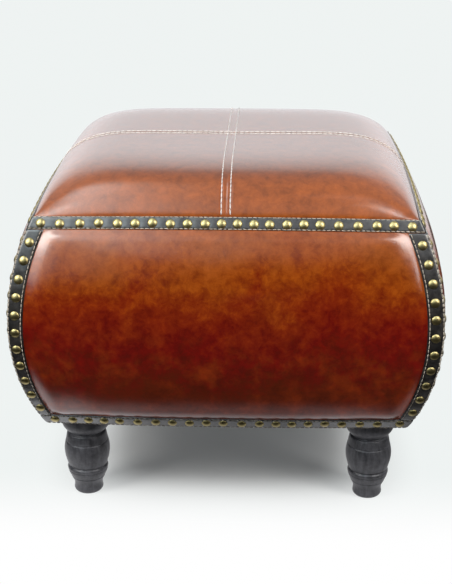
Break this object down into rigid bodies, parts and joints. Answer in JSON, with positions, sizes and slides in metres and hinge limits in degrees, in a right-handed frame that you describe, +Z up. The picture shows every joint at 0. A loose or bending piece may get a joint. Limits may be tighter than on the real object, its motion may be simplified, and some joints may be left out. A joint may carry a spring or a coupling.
{
  "type": "upholstered footstool",
  "caption": "Square footstool with barrel-curved sides and a domed seat in glossy brown leather, framed by nailed black leather strips, on turned wooden legs.",
  "frame": {"origin": "on the floor, under the middle of the stool", "axes": "+Z up, the pictured face towards -Y, +X to its right"},
  "size_m": [0.5164, 0.5164, 0.4239],
  "materials": {
    "leather": "glossy, mottled brown, fine grain",
    "black_leather": "semi-gloss black with cream stitched edges",
    "brass": "antiqued, domed",
    "black_wood": "black stain, satin",
    "pine": "raw, sawn",
    "plywood": "raw plywood",
    "foam": "open-cell foam, matte",
    "lining": "thin black non-woven, matte",
    "steel": "zinc plated"
  },
  "bodies": {
    "root": {"front_cover": "leather", "right_cover": "leather", "back_cover": "leather", "left_cover": "leather", "seat_panel_front_left": "leather", "seat_panel_front_right": "leather", "seat_panel_back_right": "leather", "seat_panel_back_left": "leather", "front_top_band": "black_leather", "front_bottom_band": "black_leather", "front_left_band": "black_leather", "front_right_band": "black_leather", "right_top_band": "black_leather", "right_bottom_band": "black_leather", "right_left_band": "black_leather", "right_right_band": "black_leather", "back_top_band": "black_leather", "back_bottom_band": "black_leather", "back_left_band": "black_leather", "back_right_band": "black_leather", "left_top_band": "black_leather", "left_bottom_band": "black_leather", "left_left_band": "black_leather", "left_right_band": "black_leather", "front_nails": "brass", "right_nails": "brass", "back_nails": "brass", "left_nails": "brass", "leg_front_left": "black_wood", "leg_front_right": "black_wood", "leg_back_right": "black_wood", "leg_back_left": "black_wood", "leg_bolt_front_left": "steel", "leg_bolt_front_right": "steel", "leg_bolt_back_right": "steel", "leg_bolt_back_left": "steel", "leg_insert_front_left": "steel", "leg_insert_front_right": "steel", "leg_insert_back_right": "steel", "leg_insert_back_left": "steel", "corner_post_front_left": "pine", "corner_post_front_right": "pine", "corner_post_back_right": "pine", "corner_post_back_left": "pine", "front_board": "plywood", "right_board": "plywood", "back_board": "plywood", "left_board": "plywood", "seat_deck": "plywood", "base_board": "plywood", "front_pad": "foam", "right_pad": "foam", "back_pad": "foam", "left_pad": "foam", "seat_foam": "foam", "dust_cover": "lining"}
  },
  "joints": []
}
